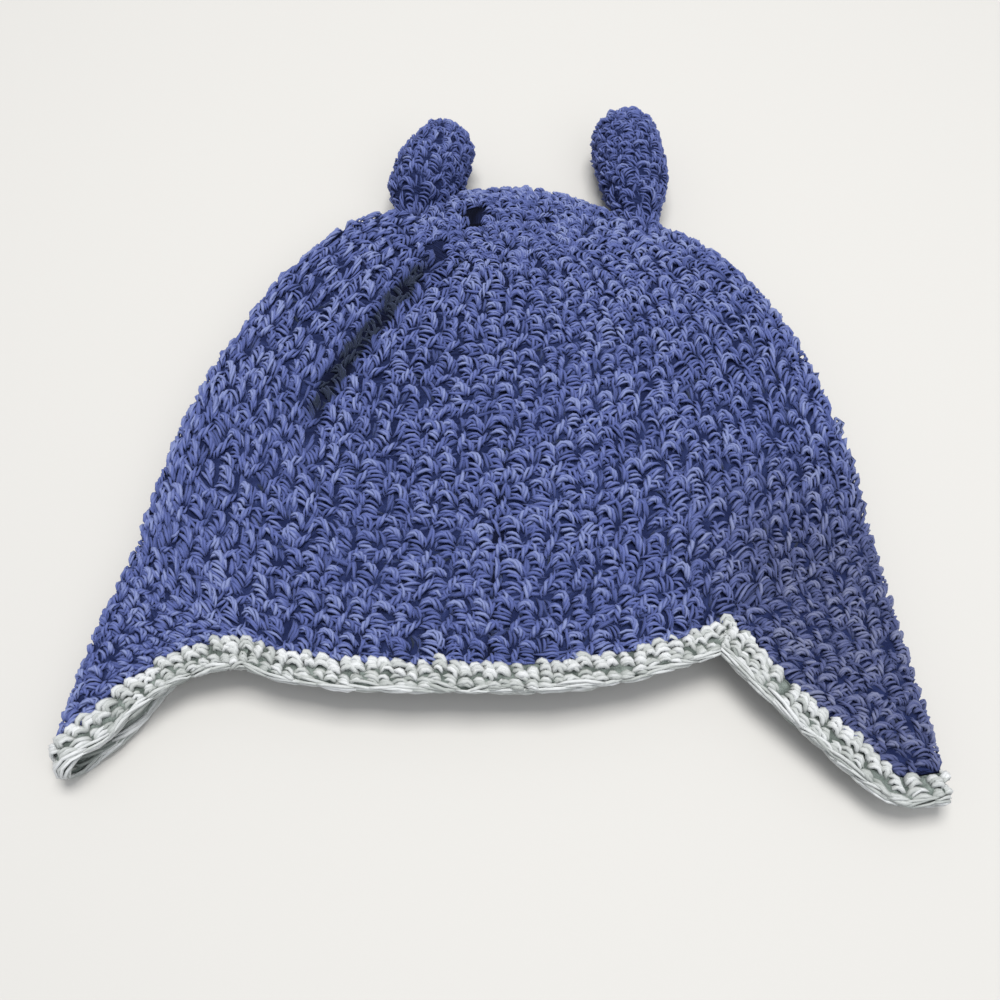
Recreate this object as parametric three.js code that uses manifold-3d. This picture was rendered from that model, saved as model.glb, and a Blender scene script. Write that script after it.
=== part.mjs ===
// Crocheted baby hat with two stuffed ears and two pointed earflaps, lying flat on its back.
// Millimetres. X runs across the hat, Y from the brim towards the crown, Z up from the surface it lies on.
import * as THREE from "three";
import Module from "manifold-3d";
import { mergeVertices } from "three/addons/utils/BufferGeometryUtils.js";

// Driving dimensions of the body
const flatWidth = 190; // across the two side folds, just above the earflaps
const bodyLength = 157; // crown end to the middle of the front brim
const loft = 22; // greatest height of the front layer above the surface
const foldHeight = 14; // thickness of a side fold at mid height of the body
const wall = 4.2; // crocheted fabric
const startX = 4; // the crown's starting ring, sideways of the middle
const dentDepth = 2.6; // crease that runs from the crown down the front
const dentWidth = 11;

// Driving dimensions of the earflaps, the edging and the ears
const flapLength = 55; // side fold of an earflap, from brim to tip
const tipThickness = 10.4; // of the two layers at an earflap's tip
const leastTipWidth = 6.2; // of an earflap's last row, from its fold to a corner
const backBow = 0.4; // bow of an earflap's back edge, a share of its front edge's
const sidewaysBow = 0.5; // how far a bow goes outwards, a share of how far it goes up
const edgingDepth = 7.1; // how far the edging stands past the brim
const edgingThickness = 4.2;
const leftEarLength = 27;
const rightEarLength = 41.5;
const leftEarWidth = 24;
const rightEarWidth = 23;
const earRest = 0.5; // between an ear's flattened underside and the surface
const earFootHeight = 6.6; // middle of an ear's foot above the surface
const earSink = 0.35; // how far a foot goes on under the crown's surface, a share of the ear's length
const earBuriedGirth = 0.2; // girth of the foot's end there, a share of the ear's width
const seam = 0.3; // clearance between pieces that are sewn or worked together

// How finely the fabric is divided
const capSteps = 3;
const frontSteps = 13;
const backSteps = 9;
const roundSteps = 22;
const flapSteps = 8;
const earSides = 14;
const crownShare = 0.6; // share of the rounds that the ears' feet are cut with

// Rounds of the body from the starting ring (0) to the brim (1). Places along Y and the middle heights
// are shares of bodyLength and loft, sideways places shares of half the flat width, and fold shares of
// foldHeight. bendL and bendR say how late a round turns up towards its fold, and flat how far it has
// changed from a ring to a flattened tube.
const rounds = table(
  "at    frontY frontZ backY  backZ  leftX  leftY  rightX rightY fold  bendL bendR flat",
  [
    [0.00, 0.121, 0.870, 0.121, 0.870, 0.000, 0.121, 0.000, 0.121, 2.60, 2.0, 2.0, 0.0],
    [0.06, 0.172, 0.930, 0.064, 0.770, 0.105, 0.110, 0.105, 0.114, 2.30, 2.0, 2.0, 0.0],
    [0.12, 0.227, 0.975, 0.006, 0.570, 0.215, 0.090, 0.210, 0.100, 2.00, 2.0, 2.0, 0.0],
    [0.20, 0.297, 1.000, -0.016, 0.280, 0.370, 0.062, 0.350, 0.078, 1.60, 2.1, 2.0, 0.1],
    [0.30, 0.385, 1.000, 0.045, 0.000, 0.520, 0.072, 0.510, 0.082, 1.25, 2.3, 2.0, 0.4],
    [0.40, 0.473, 0.985, 0.160, 0.000, 0.655, 0.155, 0.662, 0.145, 1.10, 2.5, 2.0, 0.7],
    [0.50, 0.561, 0.950, 0.265, 0.000, 0.760, 0.256, 0.775, 0.232, 1.05, 2.8, 2.0, 0.9],
    [0.60, 0.648, 0.910, 0.370, 0.000, 0.842, 0.370, 0.862, 0.330, 1.02, 3.0, 2.1, 1.0],
    [0.70, 0.736, 0.865, 0.480, 0.000, 0.908, 0.480, 0.922, 0.430, 1.00, 3.2, 2.1, 1.0],
    [0.80, 0.824, 0.810, 0.590, 0.000, 0.950, 0.590, 0.972, 0.540, 0.97, 3.4, 2.1, 1.0],
    [0.90, 0.908, 0.750, 0.700, 0.000, 0.976, 0.690, 0.998, 0.645, 0.94, 3.5, 2.1, 1.0],
    [1.00, 0.989, 0.690, 0.815, 0.000, 0.990, 0.780, 1.012, 0.750, 0.91, 3.6, 2.1, 1.0],
  ],
);

// Each earflap's last row, in front, at its fold and behind. Sideways places are shares of half the flat
// width, outwards, and places along Y shares of flapLength below the point where the fold leaves the brim.
// bow is how far the middle of the front edge lies in from a straight line, a share of flapLength.
const flaps = table(
  "side  frontCols backCols foldX  foldY  frontX frontY backX  backY  bow   bowFold",
  [
    [-1, 4, 3, 1.105, 0.925, 1.000, 0.800, 0.995, 0.800, 0.085, 0.020],
    [1, 5, 4, 1.088, 1.105, 0.965, 1.145, 0.980, 1.100, -0.020, 0.000],
  ],
);

// The crease in the front layer. Shares of half the flat width and of bodyLength.
const dent = table(
  "x      y",
  [
    [-0.04, 0.09],
    [-0.12, 0.20],
    [-0.25, 0.30],
    [-0.40, 0.38],
    [-0.47, 0.50],
    [-0.52, 0.63],
  ],
);

// Each ear's foot and tip. Sideways places are shares of half the flat width, and places along Y shares
// of bodyLength, above the crown end for the tip. lean bends the ear sideways, a share of its length.
const ears = table(
  "footX  footY  tipX   lean",
  [
    [-0.280, 0.020, -0.138, -0.10],
    [0.465, 0.070, 0.405, 0.02],
  ],
);

// Girth of each ear along its length, as a share of its width.
const earGirth = table(
  "at     left   right",
  [
    [0.00, 0.84, 0.50],
    [0.14, 0.94, 0.72],
    [0.32, 1.00, 0.92],
    [0.50, 0.97, 1.00],
    [0.68, 0.88, 0.99],
    [0.82, 0.72, 0.88],
    [0.92, 0.50, 0.66],
    [0.98, 0.26, 0.36],
  ],
);

const navy = { color: 0x4b4f93, roughness: 0.75, metalness: 0 };
const sage = { color: 0xc2cdc3, roughness: 0.8, metalness: 0 };

// A table of numbers with named columns.
function table(names, rows) {
  const keys = names.trim().split(/\s+/);
  return rows.map((row) => Object.fromEntries(keys.map((key, i) => [key, row[i]])));
}

// Smooth value of a column at a share between the rows.
function along(rows, at) {
  const last = rows.length - 1;
  let i = 0;
  while (i < last - 1 && at > rows[i + 1].at) i += 1;
  const [a, b] = [rows[i], rows[i + 1]];
  const [before, after] = [rows[Math.max(i - 1, 0)], rows[Math.min(i + 2, last)]];
  const width = b.at - a.at;
  const t = (at - a.at) / width;
  const found = {};
  for (const key of Object.keys(a)) {
    const slopeA = i > 0 ? (b[key] - before[key]) / (b.at - before.at) : (b[key] - a[key]) / width;
    const slopeB = i < last - 1 ? (after[key] - a[key]) / (after.at - a.at) : (b[key] - a[key]) / width;
    const [t2, t3] = [t * t, t * t * t];
    found[key] = (2 * t3 - 3 * t2 + 1) * a[key] + (t3 - 2 * t2 + t) * width * slopeA
      + (3 * t2 - 2 * t3) * b[key] + (t3 - t2) * width * slopeB;
  }
  return found;
}

// The columns of a round, from the left fold over the front to the right fold and back underneath.
// Each has its side, its layer (front 1, back -1) and its step away from the fold.
const columns = [];
for (const [side, layer] of [[-1, 1], [1, 1], [1, -1], [-1, -1]]) {
  const steps = capSteps + (layer > 0 ? frontSteps : backSteps);
  const outwards = side * layer > 0;
  for (let k = 0; k < steps; k += 1) columns.push({ side, layer, step: outwards ? steps - k : k });
}

// A round's shape at one column: how far out it lies, 1 at the fold, and how high between fold and middle.
function ringShape({ step, layer }) {
  const steps = capSteps + (layer > 0 ? frontSteps : backSteps);
  const angle = (step / steps) * Math.PI / 2;
  return { out: Math.cos(angle), rise: Math.sin(angle) };
}

function flatShape({ step, layer }, capShare, capRise) {
  if (step <= capSteps) {
    const angle = (step / capSteps) * Math.PI / 2;
    return { out: 1 - capShare * (1 - Math.cos(angle)), rise: capRise * Math.sin(angle) };
  }
  const t = 1 - (step - capSteps) / (layer > 0 ? frontSteps : backSteps);
  return { out: (1 - capShare) * t, rise: capRise + (1 - capRise) * (1 - t * t) ** 2 };
}

// Outer surface of the body at a round and a column.
function bodyPoint(at, column) {
  const r = along(rounds, at);
  const half = flatWidth / 2;
  const foldZ = Math.min(r.fold * foldHeight / 2, loft * r.frontZ);
  const [sideX, sideY] = column.side < 0 ? [-r.leftX, r.leftY] : [r.rightX, r.rightY];
  const [midY, midZ] = column.layer > 0 ? [r.frontY, r.frontZ * loft] : [r.backY, Math.max(r.backZ, 0) * loft];
  const bend = column.side < 0 ? r.bendL : r.bendR;
  const reach = Math.max(Math.abs(sideX) * half, 1e-6);
  const capShare = Math.min(foldZ / reach, 0.5);
  const ring = ringShape(column);
  const capRise = Math.min(foldZ / Math.max(Math.abs(midZ - foldZ), 1e-6), 1);
  const tube = flatShape(column, capShare, capRise);
  const flat = THREE.MathUtils.clamp(r.flat, 0, 1);
  const out = Math.max(ring.out + (tube.out - ring.out) * flat, 0);
  const rise = ring.rise + (tube.rise - ring.rise) * flat;
  const ringBend = 1 - Math.sqrt(Math.max(1 - out * out, 0));
  const turn = ringBend + (out ** bend - ringBend) * flat;
  return new THREE.Vector3(
    startX * (1 - at) + sideX * half * out,
    -bodyLength * (midY + (sideY - midY) * turn),
    foldZ + (midZ - foldZ) * rise,
  );
}

// How deep the crease is under a point of the front layer.
function dentAt(point) {
  let nearest = Infinity;
  let share = 0;
  for (let i = 0; i + 1 < dent.length; i += 1) {
    const a = new THREE.Vector2(dent[i].x * flatWidth / 2, -dent[i].y * bodyLength);
    const b = new THREE.Vector2(dent[i + 1].x * flatWidth / 2, -dent[i + 1].y * bodyLength);
    const p = new THREE.Vector2(point.x, point.y);
    const t = THREE.MathUtils.clamp(p.clone().sub(a).dot(b.clone().sub(a)) / a.distanceToSquared(b), 0, 1);
    const distance = p.distanceTo(a.lerp(b, t));
    if (distance < nearest) [nearest, share] = [distance, (i + t) / (dent.length - 1)];
  }
  return dentDepth * Math.sin(Math.PI * share) * Math.exp(-((nearest / (dentWidth / 2)) ** 2));
}

// Normals of a grid of points, grid[row][column]. wraps joins the last column to the first.
function gridNormals(grid, wraps) {
  const last = grid.length - 1;
  return grid.map((row, i) => row.map((point, j) => {
    const n = row.length;
    const next = row[wraps ? (j + 1) % n : Math.min(j + 1, n - 1)];
    const previous = row[wraps ? (j + n - 1) % n : Math.max(j - 1, 0)];
    const down = grid[Math.min(i + 1, last)][j].clone().sub(grid[Math.max(i - 1, 0)][j]);
    return down.cross(next.clone().sub(previous)).normalize();
  }));
}

function shifted(grid, normals, distance) {
  return grid.map((row, i) => row.map((point, j) => point.clone().addScaledVector(normals[i][j], distance)));
}

// Collects points and triangles into one closed geometry.
class Skin {
  constructor() {
    this.points = [];
    this.faces = [];
  }

  add(point) {
    this.points.push(point.x, point.y, point.z);
    return this.points.length / 3 - 1;
  }

  grid(rows) {
    return rows.map((row) => row.map((point) => this.add(point)));
  }

  // Faces between two rows of indices. Each quad is split from a to the next b, or the other way.
  strip(a, b, wraps, otherWay = false) {
    const n = a.length;
    for (let j = 0; j < (wraps ? n : n - 1); j += 1) {
      const k = (j + 1) % n;
      if (otherWay) this.faces.push(a[j], b[j], a[k], b[j], b[k], a[k]);
      else this.faces.push(a[j], b[j], b[k], a[j], b[k], a[k]);
    }
  }

  fan(centre, ring) {
    ring.forEach((index, j) => this.faces.push(centre, index, ring[(j + 1) % ring.length]));
  }

  geometry() {
    const made = new THREE.BufferGeometry();
    made.setAttribute("position", new THREE.Float32BufferAttribute(this.points, 3));
    made.setIndex(this.faces);
    return made;
  }
}

// The body's grids: rounds down from the starting ring, columns around.
const bodyGrid = [];
for (let i = 1; i <= roundSteps; i += 1) {
  bodyGrid.push(columns.map((column) => bodyPoint(i / roundSteps, column)));
}
const plainNormals = gridNormals(bodyGrid, true);
bodyGrid.forEach((row, i) => row.forEach((point, j) => {
  const normal = plainNormals[i][j];
  point.addScaledVector(normal, -dentAt(point) * Math.max(normal.z, 0));
}));
const bodyNormals = gridNormals(bodyGrid, true);
const startRing = bodyPoint(0, columns[0]);
const startNormal = bodyNormals[0].reduce((sum, n) => sum.add(n), new THREE.Vector3()).normalize();

function hatBody() {
  const skin = new Skin();
  const outer = skin.grid(bodyGrid);
  const inner = skin.grid(shifted(bodyGrid, bodyNormals, -wall));
  skin.fan(skin.add(startRing), outer[0]);
  const innerStart = skin.add(startRing.clone().addScaledVector(startNormal, -wall));
  skin.fan(innerStart, [...inner[0]].reverse());
  for (let i = 0; i + 1 < outer.length; i += 1) {
    skin.strip(outer[i], outer[i + 1], true);
    skin.strip(inner[i + 1], inner[i], true);
  }
  skin.strip(outer.at(-1), inner.at(-1), true);
  return skin.geometry();
}

// Direction in which the fabric leaves the last round, at each column.
const brimRow = bodyGrid.at(-1);
const brimWay = brimRow.map((point, j) => point.clone().sub(bodyGrid.at(-2)[j]).normalize());

// The columns of the brim that an earflap is worked on, from its front corner over the fold to its back corner.
function flapColumns(flap) {
  const chosen = [];
  for (let step = capSteps + flap.frontCols; step > 0; step -= 1) chosen.push([1, step]);
  for (let step = 0; step <= capSteps + flap.backCols; step += 1) chosen.push([-1, step]);
  return chosen.map(([layer, step]) => {
    const same = (c) => c.side === flap.side && c.step === step && (step === 0 || c.layer === layer);
    return columns.findIndex(same);
  });
}

// An earflap's outer surface and its normals, rows from the brim to the tip.
function flapSheet(flap) {
  const half = flatWidth / 2;
  const indices = flapColumns(flap);
  const fold = along(rounds, 1);
  const foldY = -bodyLength * (flap.side < 0 ? fold.leftY : fold.rightY);
  const radius = tipThickness / 2;
  const place = (x, y) => new THREE.Vector2(flap.side * x * half, foldY - y * flapLength);
  const tipFold = place(flap.foldX, flap.foldY);
  const foldAt = capSteps + flap.frontCols;
  const tip = indices.map((_, c) => {
    const inFront = c <= foldAt;
    const step = Math.abs(c - foldAt);
    const corner = inFront ? place(flap.frontX, flap.frontY) : place(flap.backX, flap.backY);
    const width = Math.max(Math.abs(corner.x - tipFold.x), leastTipWidth);
    const angle = Math.min(step / capSteps, 1) * Math.PI / 2;
    const flatSteps = inFront ? flap.frontCols : flap.backCols;
    const flatShare = Math.max(step - capSteps, 0) / flatSteps;
    const round = radius * (1 - Math.cos(angle));
    const inwards = round + (width - radius) * flatShare;
    return new THREE.Vector3(
      tipFold.x - flap.side * inwards,
      tipFold.y + (corner.y - tipFold.y) * (inwards / width),
      radius + (inFront ? 1 : -1) * radius * Math.sin(angle),
    );
  });
  const grid = [];
  for (let i = 0; i <= flapSteps; i += 1) {
    const w = i / flapSteps;
    grid.push(indices.map((index, c) => {
      const start = brimRow[index].clone().addScaledVector(brimWay[index], seam);
      const point = start.lerp(tip[c], w);
      const share = Math.abs(c - foldAt) / (c <= foldAt ? foldAt : indices.length - 1 - foldAt);
      const bow = 4 * w * (1 - w) * flapLength;
      point.y += bow * flap.bow * share * (c <= foldAt ? 1 : backBow);
      point.x += flap.side * bow * (flap.bow * sidewaysBow * share + flap.bowFold * (1 - share));
      return point;
    }));
  }
  const points = flap.side < 0 ? grid.map((row) => [...row].reverse()) : grid;
  const normals = gridNormals(points, false);
  const brim = indices.map((index) => bodyNormals.at(-1)[index]);
  normals[0] = flap.side < 0 ? brim.reverse() : brim;
  return { points, normals };
}

function closedSheet({ points: grid, normals }) {
  const skin = new Skin();
  const outer = skin.grid(grid);
  const inner = skin.grid(shifted(grid, normals, -wall));
  for (let i = 0; i + 1 < outer.length; i += 1) {
    skin.strip(outer[i], outer[i + 1], false);
    skin.strip(inner[i + 1], inner[i], false);
  }
  skin.strip(inner[0], outer[0], false, true);
  skin.strip(outer.at(-1), inner.at(-1), false);
  const column = (rows, at) => rows.map((row) => row.at(at));
  skin.strip(column(outer, 0), column(inner, 0), false);
  skin.strip(column(inner, -1), column(outer, -1), false);
  return skin.geometry();
}

// The stations of the edging: a point in the middle of the fabric's edge, its normal, all round the hat.
function edgeStations(leftSheet, rightSheet) {
  const stations = [];
  const push = (point, normal) => stations.push({
    point: point.clone().addScaledVector(normal, -wall / 2), normal,
  });
  const [left, right] = flaps.map(flapColumns);
  const edge = ({ points, normals }, column, rows) => {
    rows.forEach((i) => push(points[i].at(column), normals[i].at(column)));
  };
  // Round a tip only the corners and the fold's cap matter, because the row is straight between them.
  const tip = ({ points, normals }, foldAt) => {
    for (let c = foldAt - capSteps; c <= foldAt + capSteps; c += 1) push(points.at(-1)[c], normals.at(-1)[c]);
  };
  const down = [...Array(flapSteps).keys()].map((i) => i + 1);
  const up = [...down].reverse();
  for (let j = left[0]; j <= right[0]; j += 1) push(brimRow[j], bodyNormals.at(-1)[j]);
  edge(rightSheet, 0, down);
  tip(rightSheet, capSteps + flaps[1].frontCols);
  edge(rightSheet, -1, up);
  for (let j = right.at(-1); j <= left.at(-1); j += 1) push(brimRow[j], bodyNormals.at(-1)[j]);
  edge(leftSheet, 0, down);
  tip(leftSheet, capSteps + flaps[0].backCols);
  edge(leftSheet, -1, up);
  return stations;
}

// Section of the edging: outwards from the fabric's edge as a share of its depth, and across as a share
// of half its thickness.
const edgingSection = table(
  "out   across",
  [
    [0.00, -0.85],
    [0.20, -1.00],
    [0.75, -1.00],
    [1.00, -0.55],
    [1.00, 0.55],
    [0.75, 1.00],
    [0.20, 1.00],
    [0.00, 0.85],
  ],
);

function edging(stations) {
  const skin = new Skin();
  const n = stations.length;
  const rings = stations.map(({ point, normal }, i) => {
    const run = stations[(i + 1) % n].point.clone().sub(stations[(i + n - 1) % n].point).normalize();
    const outwards = run.clone().cross(normal).normalize();
    return edgingSection.map(({ out, across }) => {
      const corner = point.clone().addScaledVector(outwards, seam + out * edgingDepth);
      corner.addScaledVector(normal, across * edgingThickness / 2);
      corner.z = Math.max(corner.z, 0);
      return corner;
    });
  });
  const indices = skin.grid(rings);
  indices.forEach((ring, i) => skin.strip(ring, indices[(i + 1) % n], true));
  return skin.geometry();
}

// An ear is a stuffed teardrop on a bent axis. Its foot goes on, narrower, under the crown's surface and is
// cut to that surface afterwards.
function earBlank(ear, side, length, width) {
  const half = flatWidth / 2;
  const level = width / 2 + earRest;
  const sink = length * earSink;
  const foot = new THREE.Vector3(ear.footX * half, -ear.footY * bodyLength - sink, earFootHeight);
  const tip = new THREE.Vector3(ear.tipX * half, -ear.footY * bodyLength + length, level);
  const axis = (t) => {
    const point = foot.clone().lerp(tip, t);
    point.x += ear.lean * length * 4 * t * (1 - t);
    return point;
  };
  const skin = new Skin();
  const whole = length + sink;
  const stops = [0, ...earGirth.map(({ at }) => (sink + at * length) / whole)];
  const girths = [earBuriedGirth, ...earGirth.map((row) => row[side])];
  const rings = stops.map((t, i) => {
    const way = axis(Math.min(t + 0.01, 1)).sub(axis(Math.max(t - 0.01, 0))).normalize();
    const across = new THREE.Vector3(0, 0, 1).cross(way).normalize();
    const upwards = way.clone().cross(across);
    const radius = girths[i] * width / 2;
    return Array.from({ length: earSides }, (_, k) => {
      const angle = (k / earSides) * 2 * Math.PI;
      const point = axis(t).addScaledVector(across, radius * Math.cos(angle));
      point.addScaledVector(upwards, radius * Math.sin(angle));
      point.z = Math.max(point.z, earRest);
      return point;
    });
  });
  const indices = skin.grid(rings);
  for (let i = 0; i + 1 < indices.length; i += 1) skin.strip(indices[i + 1], indices[i], true);
  skin.fan(skin.add(axis(0)), [...indices[0]].reverse());
  skin.fan(skin.add(axis(1)), indices.at(-1));
  return skin.geometry();
}

// The crown's upper half, filled and grown by the seam clearance, that an ear's foot is cut with.
function crownMass() {
  const rows = Math.round(roundSteps * crownShare);
  const grown = shifted(bodyGrid, bodyNormals, seam).slice(0, rows);
  const skin = new Skin();
  const indices = skin.grid(grown);
  skin.fan(skin.add(startRing.clone().addScaledVector(startNormal, seam)), indices[0]);
  for (let i = 0; i + 1 < rows; i += 1) skin.strip(indices[i], indices[i + 1], true);
  const middle = grown.at(-1).reduce((sum, p) => sum.add(p), new THREE.Vector3()).divideScalar(columns.length);
  skin.fan(skin.add(middle), [...indices.at(-1)].reverse());
  return skin.geometry();
}

const wasm = await Module();
wasm.setup();

function toManifold(geometry) {
  const merged = mergeVertices(geometry);
  return new wasm.Manifold(new wasm.Mesh({
    numProp: 3,
    vertProperties: new Float32Array(merged.attributes.position.array),
    triVerts: new Uint32Array(merged.index.array),
  }));
}

function toGeometry(solid) {
  const { vertProperties, triVerts } = solid.getMesh();
  const made = new THREE.BufferGeometry();
  made.setAttribute("position", new THREE.BufferAttribute(vertProperties, 3));
  made.setIndex(new THREE.BufferAttribute(triVerts, 1));
  return made;
}

function mesh(name, geometry, look) {
  geometry.computeVertexNormals();
  const made = new THREE.Mesh(geometry, new THREE.MeshStandardMaterial(look));
  made.name = name;
  return made;
}

const hat = new THREE.Group();
hat.add(mesh("hat_body", hatBody(), navy));

const [leftFlap, rightFlap] = flaps.map(flapSheet);
hat.add(mesh("earflap_left", closedSheet(leftFlap), navy));
hat.add(mesh("earflap_right", closedSheet(rightFlap), navy));
hat.add(mesh("edging", edging(edgeStations(leftFlap, rightFlap)), sage));

const crown = toManifold(crownMass());
const earSizes = [["left", leftEarLength, leftEarWidth], ["right", rightEarLength, rightEarWidth]];
earSizes.forEach(([side, length, width], i) => {
  const blank = toManifold(earBlank(ears[i], side, length, width));
  hat.add(mesh(`ear_${side}`, toGeometry(blank.subtract(crown)), navy));
});

// The origin is under the middle of the whole hat.
const box = new THREE.Box3().setFromObject(hat);
const middle = box.getCenter(new THREE.Vector3());
hat.position.set(-middle.x, -middle.y, -box.min.z);

export default hat;
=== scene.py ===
"""Looks of a crocheted baby hat with two stuffed ears and two pointed earflaps, lying flat on its back."""
import math

import bpy
import numpy as np
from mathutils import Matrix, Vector


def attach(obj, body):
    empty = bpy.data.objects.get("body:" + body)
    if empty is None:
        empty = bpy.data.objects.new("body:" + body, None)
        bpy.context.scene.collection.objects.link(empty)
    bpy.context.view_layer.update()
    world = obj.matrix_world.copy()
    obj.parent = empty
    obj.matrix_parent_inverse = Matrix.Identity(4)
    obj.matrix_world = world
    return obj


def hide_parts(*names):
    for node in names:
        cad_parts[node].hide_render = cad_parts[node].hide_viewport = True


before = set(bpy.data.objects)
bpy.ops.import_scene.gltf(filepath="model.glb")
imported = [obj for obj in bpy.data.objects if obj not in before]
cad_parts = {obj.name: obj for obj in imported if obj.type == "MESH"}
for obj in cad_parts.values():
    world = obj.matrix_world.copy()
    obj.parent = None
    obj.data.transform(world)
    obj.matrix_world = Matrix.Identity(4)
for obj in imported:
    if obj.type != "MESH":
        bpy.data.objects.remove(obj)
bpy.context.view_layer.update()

# The hat's surface, worked out as in the CAD model. Millimetres, with y = 0 at the crown end.

MM = 0.001  # metres in a millimetre
SHIFT = np.array([0.863, 78.626, 0.0])  # from the crown end's frame to the model's
FLAT_WIDTH = 190.0
BODY_LENGTH = 157.0
LOFT = 22.0
FOLD_HEIGHT = 14.0
WALL = 4.2
START_X = 4.0
DENT_DEPTH = 2.6
DENT_WIDTH = 11.0
FLAP_LENGTH = 55.0
TIP_THICKNESS = 10.4
LEAST_TIP_WIDTH = 6.2
BACK_BOW = 0.4
SIDEWAYS_BOW = 0.5
EDGING_DEPTH = 7.1
EDGING_THICKNESS = 4.2
CAP, FRONT, BACK = 3, 13, 9  # steps of a quarter turn: round the fold, then over the front or the back
FOLD_SHARE = 0.3  # how much of a quarter turn the fold takes

ROUND_COLUMNS = "at frontY frontZ backY backZ leftX leftY rightX rightY fold bendL bendR flat".split()
ROUNDS = np.array([
    [0.00, 0.121, 0.870, 0.121, 0.870, 0.000, 0.121, 0.000, 0.121, 2.60, 2.0, 2.0, 0.0],
    [0.06, 0.172, 0.930, 0.064, 0.770, 0.105, 0.110, 0.105, 0.114, 2.30, 2.0, 2.0, 0.0],
    [0.12, 0.227, 0.975, 0.006, 0.570, 0.215, 0.090, 0.210, 0.100, 2.00, 2.0, 2.0, 0.0],
    [0.20, 0.297, 1.000, -0.016, 0.280, 0.370, 0.062, 0.350, 0.078, 1.60, 2.1, 2.0, 0.1],
    [0.30, 0.385, 1.000, 0.045, 0.000, 0.520, 0.072, 0.510, 0.082, 1.25, 2.3, 2.0, 0.4],
    [0.40, 0.473, 0.985, 0.160, 0.000, 0.655, 0.155, 0.662, 0.145, 1.10, 2.5, 2.0, 0.7],
    [0.50, 0.561, 0.950, 0.265, 0.000, 0.760, 0.256, 0.775, 0.232, 1.05, 2.8, 2.0, 0.9],
    [0.60, 0.648, 0.910, 0.370, 0.000, 0.842, 0.370, 0.862, 0.330, 1.02, 3.0, 2.1, 1.0],
    [0.70, 0.736, 0.865, 0.480, 0.000, 0.908, 0.480, 0.922, 0.430, 1.00, 3.2, 2.1, 1.0],
    [0.80, 0.824, 0.810, 0.590, 0.000, 0.950, 0.590, 0.972, 0.540, 0.97, 3.4, 2.1, 1.0],
    [0.90, 0.908, 0.750, 0.700, 0.000, 0.976, 0.690, 0.998, 0.645, 0.94, 3.5, 2.1, 1.0],
    [1.00, 0.989, 0.690, 0.815, 0.000, 0.990, 0.780, 1.012, 0.750, 0.91, 3.6, 2.1, 1.0],
])
FLAP_COLUMNS = "side frontCols backCols foldX foldY frontX frontY backX backY bow bowFold".split()
FLAPS = [
    dict(zip(FLAP_COLUMNS, [-1, 4, 3, 1.105, 0.925, 1.000, 0.800, 0.995, 0.800, 0.085, 0.020])),
    dict(zip(FLAP_COLUMNS, [1, 5, 4, 1.088, 1.105, 0.965, 1.145, 0.980, 1.100, -0.020, 0.000])),
]
DENT = np.array([[-0.04, 0.09], [-0.12, 0.20], [-0.25, 0.30], [-0.40, 0.38], [-0.47, 0.50], [-0.52, 0.63]])

EAR_COLUMNS = "footX footY tipX lean length width".split()
EARS = [
    dict(zip(EAR_COLUMNS, [-0.280, 0.020, -0.138, -0.10, 27.0, 24.0])),
    dict(zip(EAR_COLUMNS, [0.465, 0.070, 0.405, 0.02, 41.5, 23.0])),
]
EAR_REST, EAR_FOOT_HEIGHT, EAR_SINK, EAR_BURIED_GIRTH = 0.5, 6.6, 0.35, 0.2
EAR_START, EAR_DOME, EAR_DOME_SLACK = 0.04, 0.20, 0.02
# How far along the ear, and the left ear's and the right ear's girth there as shares of its width.
EAR_GIRTH = np.array([
    [0.00, 0.84, 0.50], [0.14, 0.94, 0.72], [0.32, 1.00, 0.92], [0.50, 0.97, 1.00],
    [0.68, 0.88, 0.99], [0.82, 0.72, 0.88], [0.92, 0.50, 0.66], [0.98, 0.26, 0.36], [1.00, 0.0, 0.0],
])


def smooth_step(t, width, start, leaving, end, arriving):
    """The way from start to end over a width, with the slopes it leaves and arrives with."""
    return (
        (2 * t**3 - 3 * t**2 + 1) * start
        + (t**3 - 2 * t**2 + t) * width * leaving
        + (3 * t**2 - 2 * t**3) * end
        + (t**3 - t**2) * width * arriving
    )


def rounds_at(at):
    """Every column of ROUNDS at the shares `at`, smooth between the rows."""
    a = ROUNDS[:, 0]
    last = len(a) - 1
    slopes = np.empty_like(ROUNDS)
    slopes[0] = (ROUNDS[1] - ROUNDS[0]) / (a[1] - a[0])
    slopes[-1] = (ROUNDS[-1] - ROUNDS[-2]) / (a[-1] - a[-2])
    slopes[1:-1] = (ROUNDS[2:] - ROUNDS[:-2]) / (a[2:] - a[:-2])[:, None]
    i = np.clip(np.searchsorted(a, at) - 1, 0, last - 1)
    width = (a[i + 1] - a[i])[:, None]
    t = (at - a[i])[:, None] / width
    found = smooth_step(t, width, ROUNDS[i], slopes[i], ROUNDS[i + 1], slopes[i + 1])
    return {name: found[:, k][:, None] for k, name in enumerate(ROUND_COLUMNS)}


def turn_of(step, layer):
    """Share of a quarter turn at a step from the fold."""
    n = FRONT if layer > 0 else BACK
    over = FOLD_SHARE + (1 - FOLD_SHARE) * (step - CAP) / n
    return np.where(step < CAP, FOLD_SHARE * step / CAP, over)


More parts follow.
